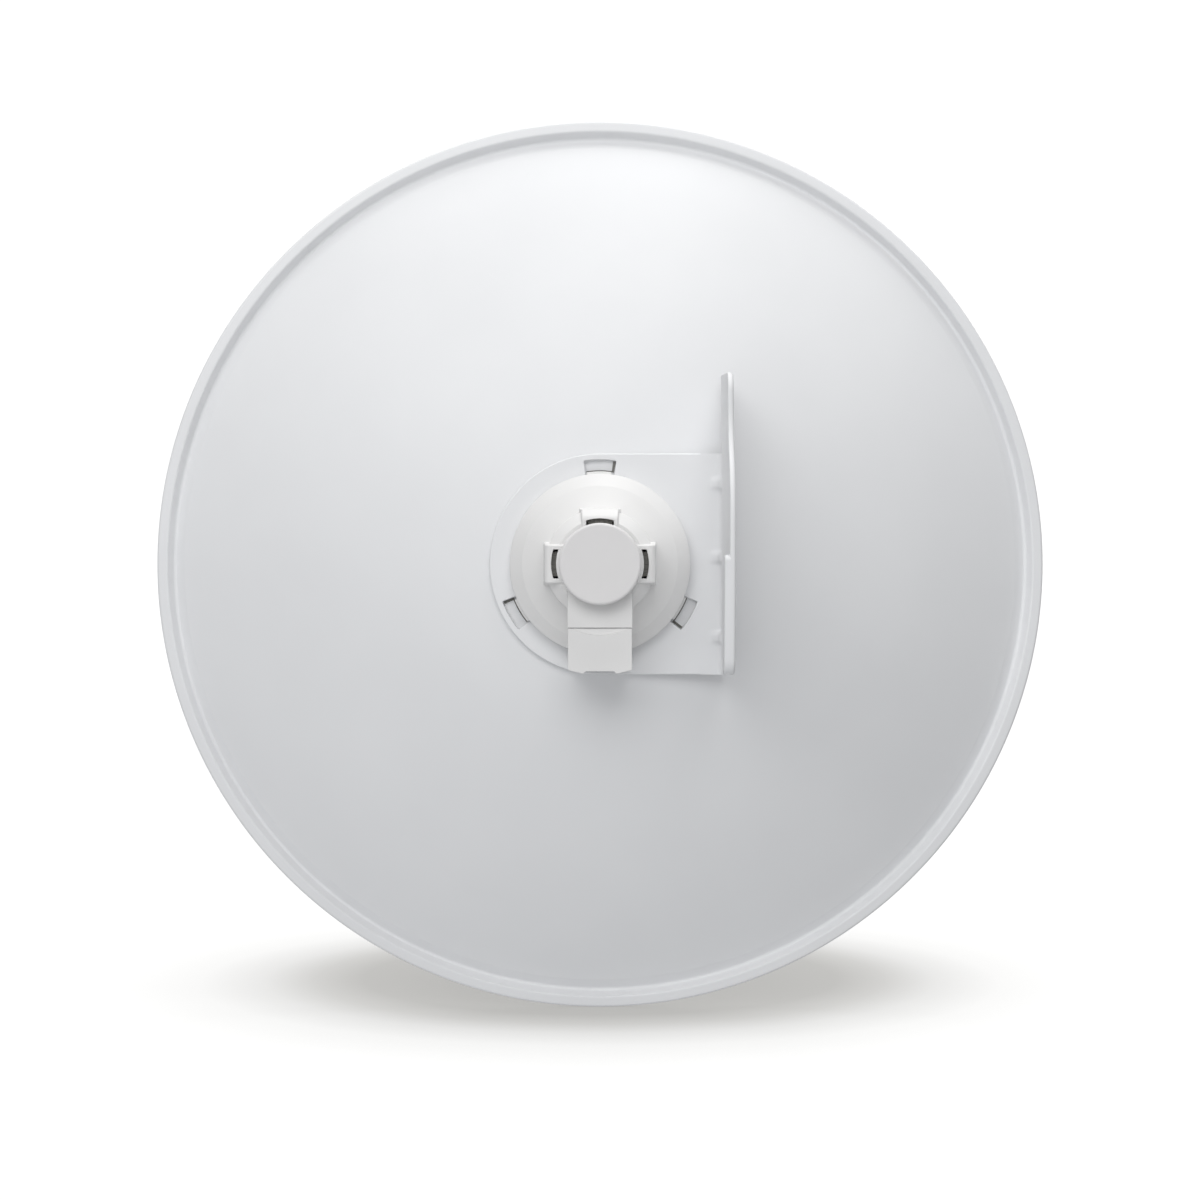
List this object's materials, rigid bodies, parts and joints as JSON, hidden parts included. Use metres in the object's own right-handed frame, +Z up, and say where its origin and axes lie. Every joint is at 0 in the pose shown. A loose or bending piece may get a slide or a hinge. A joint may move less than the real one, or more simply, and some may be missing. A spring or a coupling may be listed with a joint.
{
  "type": "outdoor wireless bridge",
  "caption": "Round white dish bridge radio: pressed dish with rolled rim, side-fin bracket, twist-lock radio housing with port cover, and a feed tube in front.",
  "frame": {"origin": "on the bracket fin's outer face, between the pivot hole and the elevation slot, 57 mm to the right of the dish's axis seen from behind, 36 mm behind the dish's hub and 22 mm below the axis", "axes": "+X out of the fin's outer face, to the right seen from behind; +Y the way the dish looks, parallel to its axis; +Z up"},
  "size_m": [0.42, 0.2412, 0.42],
  "materials": {
    "dish_paint": "satin white powder coat with a fine texture",
    "rivet_steel": "blind rivets painted with the bracket",
    "white_plastic": "warm white moulded plastic, fine spark-eroded texture",
    "inner_plastic": "plain white moulded plastic",
    "dark_plastic": "dark grey-brown moulded plastic",
    "black_rubber": "black rubber",
    "aluminium_sheet": "plain rolled sheet",
    "copper": "bare copper",
    "board_laminate": "green solder mask",
    "tinned_steel": "tinned sheet steel",
    "black_component": "black moulded component body",
    "screw_steel": "zinc-plated steel"
  },
  "bodies": {
    "dish": {"dish_reflector": "dish_paint", "mounting_bracket": "dish_paint", "bracket_rivet_1": "rivet_steel", "bracket_rivet_2": "rivet_steel", "bracket_rivet_3": "rivet_steel", "bracket_rivet_4": "rivet_steel", "bracket_rivet_5": "rivet_steel", "bracket_rivet_6": "rivet_steel", "hub_grommet": "white_plastic"},
    "radio": {"rear_housing": "white_plastic", "port_housing": "white_plastic", "tail_cap": "white_plastic", "feed_tube": "white_plastic", "feed_o_ring": "black_rubber", "feed_cap": "white_plastic", "sub_reflector": "aluminium_sheet", "patch_radiator": "copper", "radiator_board": "board_laminate", "radiator_spacer": "inner_plastic", "coax_line_left": "copper", "coax_line_right": "copper", "circuit_board": "board_laminate", "processor_shield": "tinned_steel", "radio_shield": "tinned_steel", "ethernet_transformer": "black_component", "rj45_jack": "tinned_steel", "reset_switch": "black_component", "board_clip_rear": "inner_plastic", "board_clip_front": "inner_plastic", "port_screw_left": "screw_steel", "port_screw_right": "screw_steel"},
    "port_cover": {"port_cover": "white_plastic"},
    "latch_top": {"latch_tab_top": "dark_plastic"},
    "latch_left": {"latch_tab_left": "dark_plastic"},
    "latch_right": {"latch_tab_right": "dark_plastic"},
    "reset_button": {"reset_button": "dark_plastic"}
  },
  "joints": [
    {"name": "bayonet_twist", "type": "hinge", "parent": "dish", "child": "radio", "pos_m": [-0.057, 0.036, 0.022], "axis": [0, 1, 0], "range_deg": [0, 16]},
    {"name": "port_cover_slide", "type": "slide", "parent": "radio", "child": "port_cover", "axis": [0, 0, -1], "range_m": [0, 0.03]},
    {"name": "latch_top_flex", "type": "hinge", "parent": "radio", "child": "latch_top", "pos_m": [-0.057, 0.02, 0.0402], "axis": [-1, 0, 0], "range_deg": [0, 4.5], "stiffness_Nm_per_rad": 0.6},
    {"name": "latch_left_flex", "type": "hinge", "parent": "radio", "child": "latch_left", "pos_m": [-0.0752, 0.02, 0.022], "axis": [0, 0, -1], "range_deg": [0, 4.5], "stiffness_Nm_per_rad": 0.6},
    {"name": "latch_right_flex", "type": "hinge", "parent": "radio", "child": "latch_right", "pos_m": [-0.0388, 0.02, 0.022], "axis": [0, 0, 1], "range_deg": [0, 4.5], "stiffness_Nm_per_rad": 0.6},
    {"name": "reset_press", "type": "slide", "parent": "radio", "child": "reset_button", "axis": [0, 0, 1], "range_m": [0, 0.0005], "stiffness_N_per_m": 400}
  ]
}
